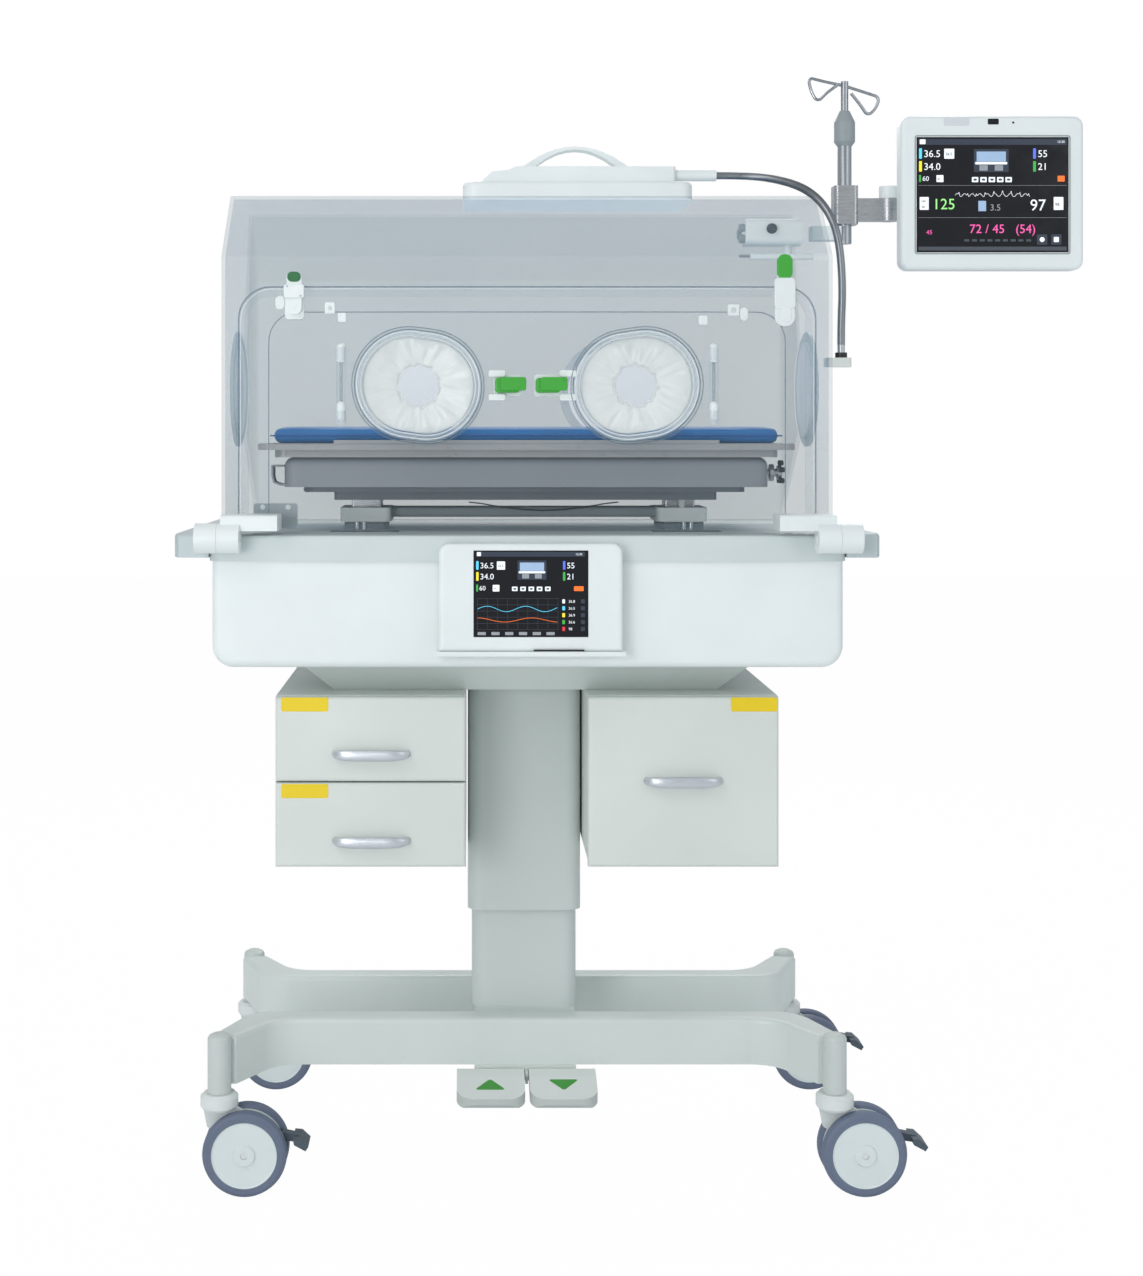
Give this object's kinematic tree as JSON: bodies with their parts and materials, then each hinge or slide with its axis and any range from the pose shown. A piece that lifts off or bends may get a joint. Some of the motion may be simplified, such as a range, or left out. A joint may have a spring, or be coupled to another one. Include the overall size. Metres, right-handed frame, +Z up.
{
  "type": "infant incubator",
  "caption": "Infant incubator with a clear drop-door hood over a tilting mattress, on a height-adjusting column stand with drawers, drip pole and monitor.",
  "frame": {"origin": "on the floor, under the centre of the lifting column", "axes": "+Z up, the front with the drop door faces -Y, +X to the right seen from the front"},
  "size_m": [1.392, 0.585, 1.6934],
  "materials": {
    "white_shell": "moulded satin white",
    "grey_band": "moulded pale grey",
    "painted_frame": "smooth pale powder coat",
    "cabinet_panel": "smooth pale powder coat",
    "grey_plastic": "fine grain grey",
    "dark_plastic": "fine grain dark grey green",
    "screen_glass": "glossy dark screen",
    "clear_hood": "clear acrylic",
    "white_fitting": "white moulding",
    "green_plastic": "green moulding",
    "cuff_film": "soft translucent film",
    "steel": "brushed steel",
    "alu": "satin anodised",
    "wheel": "slate rubber tread with pale disc",
    "mattress_cover": "smooth coated blue cover"
  },
  "bodies": {
    "base": {"base_bridge": "painted_frame", "cross_beams": "painted_frame", "caster_posts": "grey_band", "inner_column": "painted_frame"},
    "pedal_up": {"pedal_up": "grey_plastic"},
    "pedal_down": {"pedal_down": "grey_plastic"},
    "caster_fl": {"caster_fork_fl": "grey_band"},
    "wheels_fl": {"caster_wheels_fl": "wheel"},
    "brake_fl": {"caster_brake_fl": "dark_plastic"},
    "caster_fr": {"caster_fork_fr": "grey_band"},
    "wheels_fr": {"caster_wheels_fr": "wheel"},
    "brake_fr": {"caster_brake_fr": "dark_plastic"},
    "caster_rl": {"caster_fork_rl": "grey_band"},
    "wheels_rl": {"caster_wheels_rl": "wheel"},
    "brake_rl": {"caster_brake_rl": "dark_plastic"},
    "caster_rr": {"caster_fork_rr": "grey_band"},
    "wheels_rr": {"caster_wheels_rr": "wheel"},
    "brake_rr": {"caster_brake_rr": "dark_plastic"},
    "carriage": {"outer_column": "painted_frame", "column_head": "painted_frame", "body_shell": "white_shell", "deck": "grey_band", "panel_housing": "white_shell", "drawer_cabinets": "cabinet_panel", "push_handles": "grey_plastic", "hinge_brackets": "white_shell", "bed_supports": "white_shell", "hood_shell": "clear_hood", "hood_fittings": "clear_hood", "sensor_module": "white_shell", "lamp_housing": "white_shell", "gooseneck": "white_fitting", "iv_pole": "steel"},
    "drawer_upper": {"drawer_upper": "cabinet_panel", "drawer_handle_upper": "alu"},
    "drawer_lower": {"drawer_lower": "cabinet_panel", "drawer_handle_lower": "alu"},
    "drawer_right": {"drawer_right": "cabinet_panel", "drawer_handle_right": "alu"},
    "front_door": {"front_door": "clear_hood", "front_door_arms": "white_shell", "door_fittings": "clear_hood", "port_cuffs": "cuff_film"},
    "port_door_left": {"port_door_left": "clear_hood"},
    "port_catch_left": {"port_catch_left": "green_plastic"},
    "door_latch_left": {"door_latch_left": "white_fitting"},
    "port_door_right": {"port_door_right": "clear_hood"},
    "port_catch_right": {"port_catch_right": "green_plastic"},
    "door_latch_right": {"door_latch_right": "white_fitting"},
    "bed_lift_left": {"bed_lift_left": "steel"},
    "bed_lift_right": {"bed_lift_right": "steel"},
    "bed_cradle": {"bed_frame": "grey_plastic"},
    "bed": {"xray_tray": "grey_plastic", "mattress_tray": "grey_plastic", "mattress": "mattress_cover"},
    "iv_hook": {"iv_hook": "steel"},
    "monitor_arm_inner": {"monitor_arm_inner": "steel"},
    "monitor_arm_outer": {"monitor_arm_outer": "white_fitting"},
    "monitor": {"monitor_housing": "white_shell"}
  },
  "joints": [
    {"name": "swivel_fl", "type": "hinge", "parent": "base", "child": "caster_fl", "pos_m": [-0.458, -0.23, 0.147], "axis": [0, 0, 1], "continuous": true},
    {"name": "roll_fl", "type": "hinge", "parent": "caster_fl", "child": "wheels_fl", "pos_m": [-0.418, -0.23, 0.0625], "axis": [0, 1, 0], "continuous": true},
    {"name": "brake_fl", "type": "hinge", "parent": "caster_fl", "child": "brake_fl", "pos_m": [-0.374, -0.23, 0.086], "axis": [0, 1, 0], "range_deg": [0, 10]},
    {"name": "swivel_fr", "type": "hinge", "parent": "base", "child": "caster_fr", "pos_m": [0.458, -0.23, 0.147], "axis": [0, 0, 1], "continuous": true},
    {"name": "roll_fr", "type": "hinge", "parent": "caster_fr", "child": "wheels_fr", "pos_m": [0.498, -0.23, 0.0625], "axis": [0, 1, 0], "continuous": true},
    {"name": "brake_fr", "type": "hinge", "parent": "caster_fr", "child": "brake_fr", "pos_m": [0.542, -0.23, 0.086], "axis": [0, 1, 0], "range_deg": [0, 10]},
    {"name": "swivel_rl", "type": "hinge", "parent": "base", "child": "caster_rl", "pos_m": [-0.458, 0.23, 0.147], "axis": [0, 0, 1], "continuous": true},
    {"name": "roll_rl", "type": "hinge", "parent": "caster_rl", "child": "wheels_rl", "pos_m": [-0.418, 0.23, 0.0625], "axis": [0, 1, 0], "continuous": true},
    {"name": "brake_rl", "type": "hinge", "parent": "caster_rl", "child": "brake_rl", "pos_m": [-0.374, 0.23, 0.086], "axis": [0, 1, 0], "range_deg": [0, 10]},
    {"name": "swivel_rr", "type": "hinge", "parent": "base", "child": "caster_rr", "pos_m": [0.458, 0.23, 0.147], "axis": [0, 0, 1], "continuous": true},
    {"name": "roll_rr", "type": "hinge", "parent": "caster_rr", "child": "wheels_rr", "pos_m": [0.498, 0.23, 0.0625], "axis": [0, 1, 0], "continuous": true},
    {"name": "brake_rr", "type": "hinge", "parent": "caster_rr", "child": "brake_rr", "pos_m": [0.542, 0.23, 0.086], "axis": [0, 1, 0], "range_deg": [0, 10]},
    {"name": "column_lift", "type": "slide", "parent": "base", "child": "carriage", "axis": [0, 0, 1], "range_m": [-0.14, 0.06]},
    {"name": "pedal_up_press", "type": "hinge", "parent": "base", "child": "pedal_up", "pos_m": [-0.052, -0.15, 0.143], "axis": [1, 0, 0], "range_deg": [0, 10]},
    {"name": "pedal_down_press", "type": "hinge", "parent": "base", "child": "pedal_down", "pos_m": [0.056, -0.15, 0.143], "axis": [1, 0, 0], "range_deg": [0, 10]},
    {"name": "drawer_upper_slide", "type": "slide", "parent": "carriage", "child": "drawer_upper", "axis": [0, 1, 0], "range_m": [-0.3, 0]},
    {"name": "drawer_lower_slide", "type": "slide", "parent": "carriage", "child": "drawer_lower", "axis": [0, 1, 0], "range_m": [-0.3, 0]},
    {"name": "drawer_right_slide", "type": "slide", "parent": "carriage", "child": "drawer_right", "axis": [0, 1, 0], "range_m": [-0.3, 0]},
    {"name": "front_door_hinge", "type": "hinge", "parent": "carriage", "child": "front_door", "pos_m": [0, -0.293, 0.974], "axis": [1, 0, 0], "range_deg": [0, 180]},
    {"name": "port_door_left_hinge", "type": "hinge", "parent": "front_door", "child": "port_door_left", "pos_m": [-0.276, -0.2438, 1.198], "axis": [0, 0, 1], "range_deg": [-110, 0]},
    {"name": "port_catch_left_press", "type": "slide", "parent": "front_door", "child": "port_catch_left", "axis": [0, 1, 0], "range_m": [0, 0.004]},
    {"name": "door_latch_left_turn", "type": "hinge", "parent": "front_door", "child": "door_latch_left", "pos_m": [-0.345, -0.248, 1.316], "axis": [0, -1, 0], "range_deg": [0, 75]},
    {"name": "port_door_right_hinge", "type": "hinge", "parent": "front_door", "child": "port_door_right", "pos_m": [0.276, -0.2438, 1.198], "axis": [0, 0, -1], "range_deg": [-110, 0]},
    {"name": "port_catch_right_press", "type": "slide", "parent": "front_door", "child": "port_catch_right", "axis": [0, 1, 0], "range_m": [0, 0.004]},
    {"name": "door_latch_right_turn", "type": "hinge", "parent": "front_door", "child": "door_latch_right", "pos_m": [0.38, -0.248, 1.316], "axis": [0, 1, 0], "range_deg": [0, 75]},
    {"name": "bed_raise_left", "type": "slide", "parent": "carriage", "child": "bed_lift_left", "axis": [0, 0, 1], "range_m": [0, 0.04]},
    {"name": "bed_raise_right", "type": "slide", "parent": "carriage", "child": "bed_lift_right", "axis": [0, 0, 1], "range_m": [0, 0.04]},
    {"name": "bed_tilt_left", "type": "hinge", "parent": "bed_lift_left", "child": "bed_cradle", "pos_m": [-0.25, 0, 1.016], "axis": [0, 1, 0], "range_deg": [0, 5]},
    {"name": "bed_tilt_right", "type": "hinge", "parent": "bed_cradle", "child": "bed", "pos_m": [-0.34, 0, 1.04], "axis": [0, 1, 0], "range_deg": [-4, 0]},
    {"name": "iv_hook_slide", "type": "slide", "parent": "carriage", "child": "iv_hook", "axis": [0, 0, 1], "range_m": [0, 0.12]},
    {"name": "monitor_arm_swivel", "type": "hinge", "parent": "carriage", "child": "monitor_arm_inner", "pos_m": [0.51, -0.04, 1.488], "axis": [0, 0, 1], "range_deg": [-30, 60]},
    {"name": "monitor_elbow_swivel", "type": "hinge", "parent": "monitor_arm_inner", "child": "monitor_arm_outer", "pos_m": [0.58, -0.04, 1.5], "axis": [0, 0, 1], "range_deg": [-45, 45]},
    {"name": "monitor_tilt", "type": "hinge", "parent": "monitor_arm_outer", "child": "monitor", "pos_m": [0.726, -0.06, 1.5094], "axis": [1, 0, 0], "range_deg": [-12, 12]}
  ],
  "couplings": [
    {"joint": "bed_tilt_left", "follows": "bed_raise_left", "rad_per_m": 2},
    {"joint": "bed_tilt_right", "follows": "bed_raise_right", "rad_per_m": -1.6949}
  ]
}
